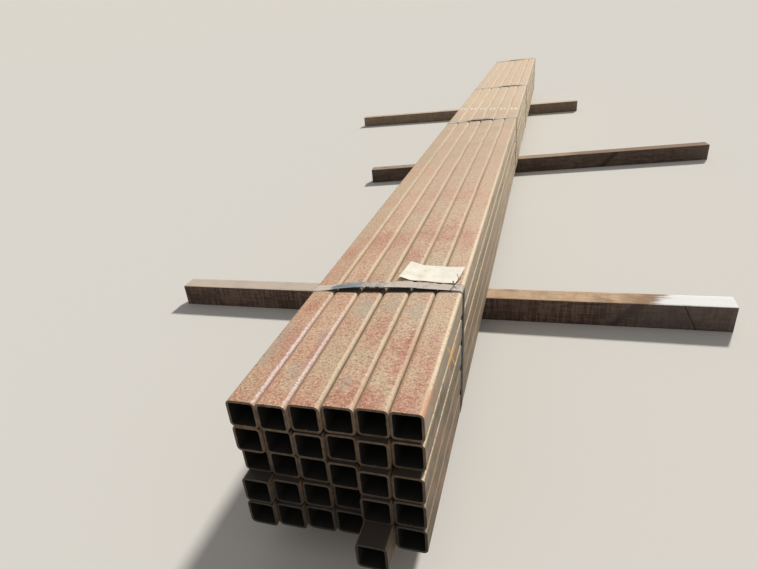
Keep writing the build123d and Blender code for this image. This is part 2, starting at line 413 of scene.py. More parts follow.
def millScaleSteel():
    v = millScale
    material, add, place = newMaterial("hotRolledSteelMillScale")
    tone = add("Attribute", attribute_name="tone").node.outputs["Fac"]
    facing = add("SeparateXYZ", [add("NewGeometry").node.outputs["Normal"]]).node.outputs
    corner = (bundle["right"], bundle["near"], bundle["top"])
    inside = add("VectorMath", [place, corner], "SUBTRACT")
    inside = add("VectorMath", [inside, (-1, 1, -1)], "MULTIPLY")
    inward, along, down = add("SeparateXYZ", [inside]).node.outputs
    own = add("VectorMath", [place, add("VectorMath", [v["slide"], tone], "SCALE")], "ADD")
    reads = {
        "up": facing["Z"], "rightwards": facing["X"], "inward": inward, "along": along,
        "down": down, **makePatterns(add, own, v["patterns"]),
    }
    share = {}
    for name, (read, *limits) in v["shares"].items():
        share[name] = add("MapRange", [reads[read], *limits])
    patches, speckle, specks = reads["patches"], reads["speckle"], reads["specks"]

    # tops lie dusty and rusting in the rain, unless another row lies on them
    isCovered = add("Math", [down, v["coveredBelow"]], "GREATER_THAN")
    share["notCovered"] = add("Math", [1.0, isCovered], "SUBTRACT")
    isOpen = add("Math", [share["isTop"], isCovered], "SUBTRACT", use_clamp=True)
    grey = tone
    for name, strength in v["greying"].items():
        swing = add("Math", [reads[name], strength, -strength / 2], "MULTIPLY_ADD")
        grey = add("Math", [grey, swing], "ADD")
    topTone = add("Mix", [grey, v["tanTop"], v["greyTop"]])

    # sides keep more of the scale, drawn out in streaks, browner towards the ground and rusting
    # here and there, and paler further along: drifts of dust with a painted sheen
    streaks = add("Math", [reads["streak"], patches], "ADD")
    streaks = add("MapRange", [streaks, *v["streaks"]])
    drifts = add("Math", [patches, v["driftPatches"], reads["band"]], "MULTIPLY_ADD")
    drifts = add("MapRange", [drifts, *v["drifts"]])
    share["further"] = add("Math", [share["further"], drifts], "MULTIPLY")
    sideRust = add("Math", [reads["streak"], patches], "MULTIPLY")
    sideRust = add("MapRange", [sideRust, *v["rustStreaks"]])
    rustLeft = add("Math", [share["further"], v["dustOnRust"], 1.0], "MULTIPLY_ADD")
    sideRust = add("Math", [sideRust, rustLeft], "MULTIPLY")
    layers = [
        (share["olive"], v["sideOlive"]), (share["lower"], v["sideLow"]),
        (share["upper"], v["sideLight"]), (share["further"], v["sideFarDustAndSheen"]),
        (sideRust, v["sideRust"]), (share["isTop"], topTone),
    ]

    # a soft bloom of flash rust, and a speckle whose threshold falls where the bloom is strong
    bloom = share["bloom"]
    topMm = bundle["top"] / mm
    for fromMiddle, fromNear, *reach in v["rustPatches"]:
        heart, reach = bundleSpot(fromMiddle, fromNear, topMm), (*reach, v["patchDeep"])
        patch = spotMask(add, place, patches, heart, reach, v["rustBreakUp"])
        bloom = add("Math", [patch, v["rustStrength"], bloom], "MULTIPLY_ADD")
    bloom = add("Math", [bloom, share["ends"]], "ADD")
    for factor in (share["nearer"], isOpen):
        bloom = add("Math", [bloom, factor], "MULTIPLY", use_clamp=True)
    lean = add("Math", [bloom, *v["rustLean"]], "MULTIPLY_ADD")
    rustMask = add("MapRange", [add("Math", [speckle, lean], "ADD"), *v["rustFrom"]])
    rustTone = add("Mix", [specks, v["rust"], v["rustDeep"]])
    layers += [(bloom, v["bloom"]), (rustMask, rustTone)]
    dotted = add("Math", [lean, v["dottedLean"], specks], "MULTIPLY_ADD")
    dots = {}
    for name in ("speck", "fleck"):
        dots[name] = add("MapRange", [dotted, *v[name + "From"]])
        dots[name] = add("Math", [dots[name], isOpen], "MULTIPLY")
        layers.append((dots[name], v[name]))
    for fromMiddle, fromNear, *reach in v["greyPatches"]:
        heart, reach = bundleSpot(fromMiddle, fromNear, topMm), (*reach, v["patchDeep"])
        patch = spotMask(add, place, patches, heart, reach, v["greyBreakUp"])
        layers.append((add("Math", [patch, v["greyStrength"]], "MULTIPLY"), v["bluish"]))

    # dust lies thicker towards the far end, and leaves the rust showing
    dust = add("MapRange", [along, 0, bundle["far"] - bundle["near"]])
    dust = add("ValToRGB", [dust], ramp=v["dustAlong"])
    marked = add("Math", [dots["speck"], rustMask], "MAXIMUM")
    share["showing"] = add("Math", [marked, v["rustShowing"], 1.0], "MULTIPLY_ADD")

    # corners: on the right a pale line, painted highlight where the corner faces the sun and
    # partly wear, strongest high up on the bundle's own side; on the left, dust and painted
    # light that lift the shade in the grooves, more further along
    share["bend"] = add("Attribute", attribute_name="bend").node.outputs["Fac"]
    fading = add("Math", [share["fading"], share["notCovered"]], "MULTIPLY")
    share["outer"] = add("MapRange", [inward, *v["outerFrom"], fading, 1.0])
    share["dulled"] = add("Math", [share["dulled"], isCovered], "MAXIMUM")
    # painted light, partly dust, on the shaded left-hand side of each groove and deep in it
    # further along
    dustAndLightTone = add("Mix", [share["further"], v["groove"], v["farDustAndLightInGroove"]])
    deepLightTone = add("Mix", [share["deepest"], v["farDustAndLightInGroove"], v["paintedLightDeepInGroove"]])

    # painted shadow with some dirt along both edges of the first strap, wider on its near side
    # where the shadow falls, none where it touches
    start, slant = strapLine(0)
    start += slant * (bundle["right"] - bundle["middle"]) - bundle["near"]
    off = add("Math", [inward, slant, along], "MULTIPLY_ADD")
    off = add("Math", [off, start - v["strapShadowNearer"]], "SUBTRACT")
    off = add("Math", [off], "ABSOLUTE")
    off = add("Math", [speckle, v["strapShadowBreakUp"], off], "MULTIPLY_ADD")
    share["strapShadowAndDirt"] = add("MapRange", [off, *v["strapShadowAndDirt"]])
    fromRight = [bundle["right"] - bundle["left"] - fromLeft for fromLeft in v["liftedFrom"]]
    share["lifted"] = add("MapRange", [inward, *fromRight])

    # what holds each of these shares back
    for name, others in (
        ("dusty", ("isTop", "uneven", "showing")),
        ("rubbed", ("bend", "leaning", "steep", "upright", "outer", "high", "dulled")),
        ("groove", ("upright", "notCovered", "uneven", "showing")),
        ("filled", ("further", "inner", "deep")),
        ("strapShadowAndDirt", ("isTop", "lifted")),
    ):
        for other in others:
            share[name] = add("Math", [share[name], share[other]], "MULTIPLY")
    # tops of lower rows under the rows above go near black: painted shade, partly unweathered
    # scale
    hiddenTopShade = add("Math", [share["isTop"], isCovered], "MULTIPLY")
    hiddenTopShade = add("Math", [hiddenTopShade, v["hiddenTopShadeShare"]], "MULTIPLY")
    layers += [
        (share["dusty"], dust), (hiddenTopShade, v["hiddenTopScaleAndShade"]), (share["rubbed"], v["rubbed"]),
        (share["groove"], dustAndLightTone), (share["filled"], deepLightTone),
        (share["strapShadowAndDirt"], v["shadowAndDirtUnderStrap"]),
    ]
    for name, fromMiddle, fromNear, up, longer in steelMarks(v):
        (wide, long, deep), strength, breakUp = v["markLooks"][name]
        heart = bundleSpot(fromMiddle, fromNear, topMm + up)
        mask = spotMask(add, place, specks, heart, (wide, long + longer, deep), breakUp)
        layers.append((add("Math", [mask, strength], "MULTIPLY"), v[name]))

    # a few strokes of wax crayon on the side, each from one place to another
    flatPlace = add("VectorMath", [place, (0, 1, 1)], "MULTIPLY")
    for (fromY, fromZ), (toY, toZ), wide in v["waxStrokes"]:
        start = Vector((0, bundle["near"] + fromY * mm, fromZ * mm))
        way = Vector((0, (toY - fromY) * mm, (toZ - fromZ) * mm))
        reach = add("VectorMath", [flatPlace, start], "SUBTRACT")
        passed = add("VectorMath", [reach, way / way.length_squared], "DOT_PRODUCT")
        passed = add("Math", [passed, 1.0], "MULTIPLY", use_clamp=True)
        nearest = add("VectorMath", [way, passed], "SCALE")
        away = add("VectorMath", [reach, nearest], "DISTANCE")
        away = add("Math", [specks, v["waxBreakUp"], away], "MULTIPLY_ADD")
        edge = [(wide + wider) * mm for wider in v["waxEdge"]]
        stroke = add("MapRange", [away, *edge, 0, v["waxShare"]])
        layers.append((add("Math", [stroke, share["onSide"]], "MULTIPLY"), v["wax"]))

    colour = add("Mix", [streaks, v["sideDark"], v["sideLight"]])
    for mask, shade in layers:
        colour = add("Mix", [mask, colour, shade])
    dull = add("Math", [rustMask, share["dusty"]], "MAXIMUM")
    rough = add("MapRange", [dull, 0, 1, *v["roughness"]])
    height = add("Math", [rustMask, v["pitDepth"], specks], "MULTIPLY_ADD")
    endMaterial(add, {"Base Color": colour, "Roughness": rough}, height, v["bump"])
    return material


# the cut face of the wall: bare steel browned over, with the blade's marks, and painted shade
# that makes the lower rows darker towards the ground
sawCut = {
    "brown": "#75644f",
    "dark": "#483b2e",
    "rust": "#73573f",
    "rustShare": 0.5,
    # painted shade, darker towards the ground
    "darkened": "#221e1a",
    "shadeDown": (0.06, 0.30),
    "shadeShare": 0.8,
    "patterns": {"blotch": (14, 14, 14, 4.0, 0.5), "marks": (40 / 3, math.inf, 1.6, 1.0, 0.5)},
    "blotches": (0.35, 0.65),
    "roughness": (0.55, 0.85),
    "bump": (0.6, 0.25 * mm),
}


def sawCutSteel():
    v = sawCut
    material, add, place = newMaterial("sawCutSteelBrowned")
    tone = add("Attribute", attribute_name="tone").node.outputs["Fac"]
    blotch, marks = makePatterns(add, place, v["patterns"]).values()
    share = add("MapRange", [blotch, *v["blotches"]])
    colour = add("Mix", [share, v["dark"], v["brown"]])
    rust = add("Math", [tone, v["rustShare"]], "MULTIPLY")
    colour = add("Mix", [rust, colour, v["rust"]])
    # painted shade: the rims of lower rows darker towards the ground
    height = add("SeparateXYZ", [place]).node.outputs["Z"]
    start, full = (bundle["top"] - down for down in v["shadeDown"])
    darkened = add("MapRange", [height, start, full, 0, v["shadeShare"]])
    colour = add("Mix", [darkened, colour, v["darkened"]])
    rough = add("MapRange", [marks, 0, 1, *v["roughness"]])
    endMaterial(add, {"Base Color": colour, "Roughness": rough}, marks, v["bump"])
    return material


# the bore: mill scale that the weather hasn't reached, darkened to nearly black as painted shade
# inside the tube
bore = {
    "scale": "#0a0909",
    "brown": "#130f0d",
    "patterns": {"cloud": (40, 40, 40, 4.0, 0.5)},
    "clouds": (0.4, 0.7),
    "roughness": (0.6, 0.95),
    "bump": (0.3, 0.3 * mm),
}


def boreSteel():
    v = bore
    material, add, place = newMaterial("innerWallMillScaleAndShade")
    cloud = makePatterns(add, place, v["patterns"])["cloud"]
    share = add("MapRange", [cloud, *v["clouds"]])
    colour = add("Mix", [share, v["scale"], v["brown"]])
    rough = add("MapRange", [cloud, 0, 1, *v["roughness"]])
    endMaterial(add, {"Base Color": colour, "Roughness": rough}, cloud, v["bump"])
    return material


# square tubes: size and wall as the solids have them, rims just broken by the saw
tubes = {
    "size": 76.2 * mm,
    "wall": 6.35 * mm,
    "corner": 12.7 * mm,
    "cornerSteps": 7,
    "rimRound": 0.5 * mm,
    "rimSteps": 2,
    "beadHigh": 1.6 * mm,
    "beadWide": 4.0 * mm,
    "beadSteps": 10,
    "beadShare": 0.9996,  # of the base length
    "ragged": 0.8 * mm,
    "raggedScale": 22.0,
    "baseLength": 7.0,
    "softDegrees": 32,
    "columns": 6,
    "rows": 5,
    "seed": 4,
}


# a tree with named inputs, and a modifier whose inputs are set by identifier
def newTree(name, floats=(), integers=()):
    tree = bpy.data.node_groups.new(name, "GeometryNodeTree")
    labels = [("Geometry", "Geometry")]
    labels += [(label, "Float") for label in floats] + [(label, "Int") for label in integers]
    for label, kind in labels:
        tree.interface.new_socket(label, in_out="INPUT", socket_type="NodeSocket" + kind)
    tree.interface.new_socket("Geometry", in_out="OUTPUT", socket_type="NodeSocketGeometry")
    add = partial(addNode, tree)
    return tree, add, add("NodeGroupInput").node.outputs


def bakeTree(name, source, tree, values, weighted=False):
    carrier = bpy.data.objects.new(name + "Source", source)
    scene.collection.objects.link(carrier)
    modifier = carrier.modifiers.new("nodes", "NODES")
    modifier.node_group = tree
    for item in tree.interface.items_tree:
        if item.in_out == "INPUT" and item.name in values:
            modifier[item.identifier] = values[item.name]
    if weighted:
        carrier.modifiers.new("weightedNormals", "WEIGHTED_NORMAL").keep_sharp = True
    graph = bpy.context.evaluated_depsgraph_get()
    mesh = bpy.data.meshes.new_from_object(carrier.evaluated_get(graph))
    bpy.data.objects.remove(carrier)
    mesh.name = name
    return placePiece(mesh)


# each tube's near end and length, read from the loose triangles of its row's solid
def tubeStarts(row):
    points = np.array([vertex.co[:] for vertex in nodes[f"tube_row_{row}"].data.vertices])
    low, high = points.min(0), points.max(0)
    pitch = (high[0] - low[0]) / tubes["columns"]
    up = (low[2] + high[2]) / 2
    isSeat = np.abs(points[:, 2] - up) < 0.4 * tubes["size"]
    starts = []
    for column in range(tubes["columns"]):
        isMine = np.abs(points[:, 0] - (low[0] + (column + 0.5) * pitch)) < 0.47 * pitch
        walls = points[isMine & isSeat, 0]
        near, far = points[isMine, 1].min(), points[isMine, 1].max()
        starts.append(((walls.min() + walls.max()) / 2, near, up, far - near))
    return starts


def squareTubeTree(outer, inner, cutFace):
    names = (
        "Size", "Wall", "Corner", "Rim Round", "Base Length", "Bead High", "Bead Wide", "Ragged",
    )
    tree, add, given = newTree("squareTubes", names, ("Corner Steps", "Seed"))

    # the wall's long thin section goes round the rounded square
    square = add("GeometryNodeCurvePrimitiveQuadrilateral", {
        "Width": given["Size"], "Height": given["Size"],
    })
    outline = add("GeometryNodeFilletCurve", {
        "Curve": square, "Radius": given["Corner"], "Count": given["Corner Steps"],
    }, mode="POLY")
    section = add("GeometryNodeCurvePrimitiveQuadrilateral", {
        "Width": given["Wall"], "Height": given["Base Length"],
    })
    halfWall = add("Math", [given["Wall"], -0.5], "MULTIPLY")
    inward = add("CombineXYZ", {"X": halfWall})
    section = add("GeometryNodeTransform", {"Geometry": section, "Translation": inward})
    section = add("GeometryNodeFilletCurve", {
        "Curve": section, "Radius": given["Rim Round"], "Count": tubes["rimSteps"],
    }, mode="POLY")
    shell = add("GeometryNodeCurveToMesh", {"Curve": outline, "Profile Curve": section})

    # what the finish needs to know: which faces look inwards, and where the corners bend
    normal = add("GeometryNodeInputNormal")
    spot = add("GeometryNodeInputPosition")
    across = add("VectorMath", [spot, (1, 1, 0)], "MULTIPLY")
    outwards = add("VectorMath", [normal, across], "DOT_PRODUCT")
    isInside = add("FunctionNodeCompare", [outwards, 0.0], "LESS_THAN", data_type="FLOAT")
    shell = add("GeometryNodeStoreNamedAttribute", [
        shell, True, "inside", isInside,
    ], data_type="BOOLEAN", domain="FACE")
    away = add("VectorMath", [spot], "ABSOLUTE")
    away = add("SeparateXYZ", [away]).node.outputs
    lesser = add("Math", [away["X"], away["Y"]], "MINIMUM")
    flat = add("Math", [given["Size"], 0.5], "MULTIPLY")
    flat = add("Math", [flat, given["Corner"]], "SUBTRACT")
    bend = add("Math", [lesser, flat], "SUBTRACT")
    bend = add("Math", [bend, given["Corner"]], "DIVIDE")
    bend = add("Math", [bend, 2.0], "MULTIPLY", use_clamp=True)
    shell = add("GeometryNodeStoreNamedAttribute", [
        shell, True, "bend", bend,
    ], data_type="FLOAT", domain="POINT")

    # the weld bead runs down the middle of one inner wall
    half = add("Math", [given["Base Length"], 0.5], "MULTIPLY")
    innerFace = add("Math", [given["Size"], -0.5], "MULTIPLY")
    innerFace = add("Math", [innerFace, given["Wall"]], "ADD")
    beadReach = add("Math", [half, tubes["beadShare"]], "MULTIPLY")
    beadBack = add("Math", [beadReach, -1.0], "MULTIPLY")
    start = add("CombineXYZ", {"Y": innerFace, "Z": beadBack})
    end = add("CombineXYZ", {"Y": innerFace, "Z": beadReach})
    line = add("GeometryNodeCurvePrimitiveLine", {"Start": start, "End": end})
    halfBead = add("Math", [given["Bead Wide"], 0.5], "MULTIPLY")
    flatten = add("CombineXYZ", [halfBead, given["Bead High"], 1.0])
    ring = add("GeometryNodeCurvePrimitiveCircle", {
        "Resolution": tubes["beadSteps"], "Radius": 1.0,
    }, mode="RADIUS")
    ring = add("GeometryNodeTransform", {"Geometry": ring, "Scale": flatten})
    bead = add("GeometryNodeCurveToMesh", {
        "Curve": line, "Profile Curve": ring, "Fill Caps": True,
    })
    bead = add("GeometryNodeStoreNamedAttribute", [
        bead, True, "inside", True,
    ], data_type="BOOLEAN", domain="FACE")
    both = add("GeometryNodeJoinGeometry", {"Geometry": bead})
    tree.links.new(shell, both.node.inputs["Geometry"])

    # mark the far half, lay the tube along Y and start it at its near end
    depth = add("SeparateXYZ", [spot]).node.outputs["Z"]
    isFar = add("FunctionNodeCompare", [depth, 0.0], "LESS_THAN", data_type="FLOAT")
    both = add("GeometryNodeStoreNamedAttribute", [
        both, True, "far", isFar,
    ], data_type="BOOLEAN", domain="POINT")
    laid = add("GeometryNodeTransform", {
        "Geometry": both, "Rotation": (math.pi / 2, 0, 0),
        "Translation": add("CombineXYZ", {"Y": half}),
    })

    # one tube at each point, turned so its weld lies where the mill left it
    turn = add("GeometryNodeInputNamedAttribute", {"Name": "turn"}, data_type="FLOAT")
    turn = add("FunctionNodeEulerToRotation", {"Euler": add("CombineXYZ", {"Y": turn})})
    many = add("GeometryNodeInstanceOnPoints", {
        "Points": given["Geometry"], "Instance": laid, "Rotation": turn,
    })
    many = add("GeometryNodeRealizeInstances", {"Geometry": many})

    # far ends to each tube's own length, near ends a little out of square
    isFar = add("GeometryNodeInputNamedAttribute", {"Name": "far"}, data_type="BOOLEAN")
    isNear = add("FunctionNodeBooleanMath", [isFar], "NOT")
    long = add("GeometryNodeInputNamedAttribute", {"Name": "long"}, data_type="FLOAT")
    extra = add("Math", [long, given["Base Length"]], "SUBTRACT")
    seed = add("Math", [given["Seed"], 7.31], "MULTIPLY")
    wander = add("TexNoise", {
        "Vector": spot, "W": seed, "Scale": tubes["raggedScale"], "Detail": 1.0,
    }, noise_dimensions="4D")
    wander = add("Math", [wander, given["Ragged"]], "MULTIPLY")
    for chosen, way in ((isFar, extra), (isNear, wander)):
        many = add("GeometryNodeSetPosition", {
            "Geometry": many, "Selection": chosen, "Offset": add("CombineXYZ", {"Y": way}),
        })

    angle = add("GeometryNodeInputMeshEdgeAngle")
    softest = math.radians(tubes["softDegrees"])
    isSoft = add("FunctionNodeCompare", [angle, softest], "LESS_THAN", data_type="FLOAT")
    for domain, smooth in (("FACE", True), ("EDGE", isSoft)):
        many = add("GeometryNodeSetShadeSmooth", {
            "Geometry": many, "Shade Smooth": smooth,
        }, domain=domain)

    facing = add("VectorMath", [normal], "ABSOLUTE")
    facing = add("SeparateXYZ", [facing]).node.outputs["Y"]
    isCut = add("FunctionNodeCompare", [facing, 0.3], "GREATER_THAN", data_type="FLOAT")
    isInside = add("GeometryNodeInputNamedAttribute", {"Name": "inside"}, data_type="BOOLEAN")
    for chosen, finish in ((True, outer), (isInside, inner), (isCut, cutFace)):
        many = add("GeometryNodeSetMaterial", {
            "Geometry": many, "Selection": chosen, "Material": finish,
        })
    add("NodeGroupOutput", {"Geometry": many})
    return tree


def makeTubes():
    v = tubes
    tree = squareTubeTree(millScaleSteel(), boreSteel(), sawCutSteel())
    dice = random.Random(v["seed"])
    values = {
        "Size": v["size"], "Wall": v["wall"], "Corner": v["corner"], "Rim Round": v["rimRound"],
        "Base Length": v["baseLength"], "Bead High": v["beadHigh"], "Bead Wide": v["beadWide"],
        "Ragged": v["ragged"], "Corner Steps": v["cornerSteps"], "Seed": v["seed"],
    }
    for row in range(1, v["rows"] + 1):
        starts = tubeStarts(row)
        source = bpy.data.meshes.new("tubeStarts")
        source.from_pydata([start[:3] for start in starts], [], [])
        quarters = [(row - 1 + 2 * column + column // 3) % 4 for column in range(v["columns"])]
        facts = {
            "long": [start[3] for start in starts],
            "turn": [-math.radians(90 * quarter) for quarter in quarters],
            "tone": [dice.random() for _ in starts],
        }
        for name, amounts in facts.items():
            source.attributes.new(name, "FLOAT", "POINT").data.foreach_set("value", amounts)
        piece = bakeTree(f"squareTubesRow{row}", source, tree, values, weighted=True)
        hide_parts(f"tube_row_{row}")
        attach(piece, "root")
        print("row", row, "of tubes:", len(piece.data.polygons), "faces")


makeTubes()


# steel strapping, blued at the mill, then dusted over: bare bands show dark and bluish
strapping = {
    "blued": "#949aa1",
    "bluedDark": "#64676d",
    "shaded": "#121111",
    "dust": "#c6b5a3",
    "dustPale": "#dfd1bf",
    "rust": "#8d6650",
    "patterns": {"scratches": (160, 2.4, 160, 3.0, 0.6), "cloud": (28, 28, 28, 5.0, 0.65)},
    "scratched": (0.38, 0.62),
    "bareReach": (0.6, 1.3),
    "bareShare": (0.5, 0),
    "nearEdge": (0.012, -0.004, 0.3, 1),  # from the strap's middle line: more bare on this side
    "lying": (0.2, 0.8, -0.30, 0),
    "dustEdge": (-0.12, 0.10),
    "dustMost": 0.92,
    "rustFrom": (0.36, 0.28, 0, 0.7),
    "shadedFrom": (0.6, 0.2, 0, 0.95),
    "metallic": (0.55, 0),
    "roughness": (0.88, 0.42),
    "bump": (0.3, 0.15 * mm),
}
strapLooks = (  # where each is bare, in mm from the bundle's middle, how much painted shadow darkens that stretch, how much darkens its seal, and how dusty
    {"bareFromMiddle": (-165, -60), "gapShadow": 0.0, "sealGapShadow": 0.0, "dustShare": 0.63},
    {"bareFromMiddle": (-85, 45), "gapShadow": 0.9, "sealGapShadow": 0.75, "dustShare": 0.44},
    {"bareFromMiddle": (-5, 80), "gapShadow": 0.7, "sealGapShadow": 0.5, "dustShare": 0.46},
    {"bareFromMiddle": (-70, 0), "gapShadow": 0.5, "sealGapShadow": 0.5, "dustShare": 0.46},
)


def strappingSteel(index):
    v, look = strapping, strapLooks[index]
    material, add, place = newMaterial(f"bluedSteelStrapping{index + 1}")
    spot = add("SeparateXYZ", [place]).node.outputs
    facing = add("SeparateXYZ", [add("NewGeometry").node.outputs["Normal"]]).node.outputs
    scratches, cloud = makePatterns(add, place, v["patterns"]).values()
    shine = add("MapRange", [scratches, *v["scratched"]])

    # one stretch of the top run is bare of dust; on straps 2 to 4 painted shadow darkens it
    start, stop = (bundle["middle"] + aside * mm for aside in look["bareFromMiddle"])
    inner, outer = ((stop - start) / 2 * share for share in v["bareReach"])
    away = add("Math", [spot["X"], (start + stop) / 2], "SUBTRACT")
    away = add("Math", [away], "ABSOLUTE")
    gapShadow = add("MapRange", [away, outer, inner, 0, look["gapShadow"]])
    bare = add("MapRange", [away, inner, outer, *v["bareShare"]])
    line, slant = strapLine(index)
    side = add("Math", [spot["X"], -bundle["middle"]], "ADD")
    side = add("Math", [side, -slant, spot["Y"]], "MULTIPLY_ADD")
    side = add("Math", [side, line], "SUBTRACT")
    side = add("MapRange", [side, *v["nearEdge"]])
    bare = add("Math", [bare, side], "MULTIPLY")

    # dust on what lies flat, rust through it, and black where no light reaches
    dusty = add("MapRange", [facing["Z"], *v["lying"]])
    dusty = add("Math", [cloud, dusty], "ADD")
    dusty = add("Math", [dusty, bare], "SUBTRACT")
    start, full = (1.0 - look["dustShare"] + edge for edge in v["dustEdge"])
    dustMask = add("MapRange", [dusty, start, full, 0, v["dustMost"]])
    dustTone = add("Mix", [shine, v["dust"], v["dustPale"]])
    rustMask = add("MapRange", [cloud, *v["rustFrom"]])
    shaded = add("MapRange", [facing["Z"], *v["shadedFrom"]])
    shaded = add("Math", [shaded, gapShadow], "MAXIMUM")
    colour = add("Mix", [shine, v["bluedDark"], v["blued"]])
    for mask, shade in ((rustMask, v["rust"]), (dustMask, dustTone), (shaded, v["shaded"])):
        colour = add("Mix", [mask, colour, shade])
    metal = add("Math", [dustMask, shaded], "MAXIMUM")
    metal = add("MapRange", [metal, 0, 1, *v["metallic"]])
    rough = add("MapRange", [metal, 0, 1, *v["roughness"]])
    looks = {"Base Color": colour, "Roughness": rough, "Metallic": metal}
    endMaterial(add, looks, scratches, v["bump"])
    return material


# the crimped seals: galvanised sheet gone dull, with grime in the notches, and painted shadow
# over parts of seals 2 to 4
sealSheet = {
    "zinc": "#bfb5a9",
    "zincDark": "#8e857b",
    "grime": "#574c42",
    # painted shadow over parts of the seal
    "gapShadow": "#1d1916",
    "spangleMm": 5.0,
    "patterns": {"cloud": (12, 12, 12, 4.0, 0.5)},
    "grimeFrom": (0.55, 0.70, 0, 0.8),
    "gapShadowFrom": (0.2, 0.5),
    "metallic": (0.45, 0),
    "roughness": (0.45, 0.75),
    "bump": (0.3, 0.2 * mm),
}


def dullZincSheet(index):
    v = sealSheet
    material, add, place = newMaterial(f"galvanisedSheetDulled{index + 1}")
    spangle = add("TexVoronoi", {"Vector": place, "Scale": 1 / (v["spangleMm"] * mm)})
    spangle = add("SeparateColor", [spangle.node.outputs["Color"]])
    cloud = makePatterns(add, place, v["patterns"])["cloud"]
    grime = add("MapRange", [cloud, *v["grimeFrom"]])
    # painted shadow over parts of seals 2 to 4
    over = add("MapRange", [cloud, *v["gapShadowFrom"], 0, strapLooks[index]["sealGapShadow"]])
    colour = add("Mix", [spangle, v["zinc"], v["zincDark"]])
    colour = add("Mix", [grime, colour, v["grime"]])
    colour = add("Mix", [over, colour, v["gapShadow"]])
    metal = add("Math", [grime, over], "MAXIMUM")
    metal = add("MapRange", [metal, 0, 1, *v["metallic"]])
    rough = add("MapRange", [cloud, 0, 1, *v["roughness"]])
    looks = {"Base Color": colour, "Roughness": rough, "Metallic": metal}
    endMaterial(add, looks, cloud, v["bump"])
    return material


def dressStraps():
    for index in range(len(strapLooks)):
        strap, seal = strappingSteel(index), dullZincSheet(index)
        for name, material in ((f"strap_{index + 1}", strap), (f"seal_{index + 1}", seal)):
            mesh = nodes[name].data
            mesh.materials.clear()
            mesh.materials.append(material)
    print("straps and seals dressed")


dressStraps()


# rough sawn bearers, each with its own age: brown wet faces, tan tops, one end bleached white
bearers = {
    "round": 2.5 * mm,
    "roundSteps": 3,
    "sideSteps": 9,
    "stationMm": 11,
    "rough": 1.1 * mm,
    "restShare": 0.4,  # of the roughness, where the tubes rest
    "wane": 7.0 * mm,
    "waneReach": 22 * mm,
    "endRound": 6 * mm,
    "endWorn": 0.8 * mm,
    "seed": 11,
    "waneGrain": 1.3,
    "waneFrom": 0.15,
    "waneShare": 1.6,
    "roughGrain": (9, 60, 60),
    "fineLine": "#3a2c22",
    "knotDark": "#2a1e17",
    "greyed": "#685d58",
    "splitDark": "#1d1511",
    "stained": "#7d5a3e",
    "leftPale": "#cbc1b4",
    "noiseStep": (5.3, 2.1, 0),
    "warps": {"warp": (180, 180, 180, 2.0, 0.5)},
    "warpDeep": 0.06,
    "grains": {"grain": (260, 7, 7, 4.0, 0.65), "fine": (90, 2.2, 2.2, 2.0, 0.5)},
    "blotch": (120, 120, 120, 4.0, 0.5),
    "topFrom": (0.4, 0.8),
    "topPaleFrom": (0.36, 0.64),
    "sidePaleFrom": (0.18, 0.31),
    "darkFrom": (0.52, 0.68, 0, 0.45),
    "lineFrom": (0.60, 0.68, 0, 0.55),
    "overhang": 1.13,  # marks are placed from so far inside the right end
    "knotLean": -0.9,
    "knotBreakUp": 0.1,
    "knotHeart": 0.4,
    "knotShare": 0.7,
    "greyOver": 0.2,
    "greyShare": 0.5,
    "splitLean": 0.52,
    "splitHalf": (3.2 * mm, 1.0 * mm),
    "rimBreakUp": 0.35,
    "stainShift": 0.17,
    "stainShare": 0.7,
    "bleachBreakUp": 0.3,
    "bleachOver": (0.27, 0.37),
    "bleachShare": 0.95,
    "leftPaleFrom": (0.0, -0.14),
    "endFrom": (0.8, 0.95, 0, 0.7),
    "sawDeep": 0.7,
    "ringMm": 24,
    "ringHeart": (0, 0.03, -0.04),
    "roughness": 0.88,
    "bump": (0.8, 1.2 * mm),
}
timberLooks = (
    {
        "top": "#b89570", "topPale": "#d4b590", "front": "#463329", "frontPale": "#745f52",
        "bleach": "#f6f3ee", "bleachFrom": 900, "leftPale": 0.6, "stain": (715, 780),
        "greyFrom": 640, "knot": (765, 24), "crack": 1010, "sawn": 1.0,
        "saw": (9.0, 90, 90, 2.0, 0.7),
    },
    {
        "top": "#8c745c", "topPale": "#b09a7e", "front": "#41322a", "frontPale": "#6a594c",
        "bleach": "#c9b79c", "bleachFrom": 1180, "leftPale": 0.0, "stain": (150, 260),
        "greyFrom": 900, "knot": (480, 40), "crack": 0, "sawn": 0.3,
        "saw": (11.0, 90, 90, 2.0, 0.7),
    },
    {
        "top": "#b7a084", "topPale": "#d8c4a4", "front": "#7d6753", "frontPale": "#998672",
        "bleach": "#cdbb9d", "bleachFrom": 330, "leftPale": 0.0, "stain": (60, 120),
        "greyFrom": 700, "knot": (180, 50), "crack": 0, "sawn": 0.6,
        "saw": (10.0, 90, 90, 2.0, 0.7),
    },
)


# middle, sizes and turn of a bearer, from the corners of its solid
def bearerFrame(name):
    points = np.array([vertex.co[:] for vertex in nodes[name].data.vertices])
    flat = points[:, :2] - points[:, :2].mean(0)
    widest = np.unique(flat.round(5), axis=0)
    axis = np.linalg.svd(widest - widest.mean(0), full_matrices=False)[2][0]
    axis = axis * (1 if axis[0] > 0 else -1)
    across = np.array([-axis[1], axis[0]])
    along = points[:, :2] @ axis
    wide = points[:, :2] @ across
    middle = axis * (along.max() + along.min()) / 2 + across * (wide.max() + wide.min()) / 2
    return {
        "middle": Vector((middle[0], middle[1], 0)),
        "turn": math.atan2(axis[1], axis[0]),
        "long": along.max() - along.min(),
        "wide": wide.max() - wide.min(),
        "high": points[:, 2].max(),
    }


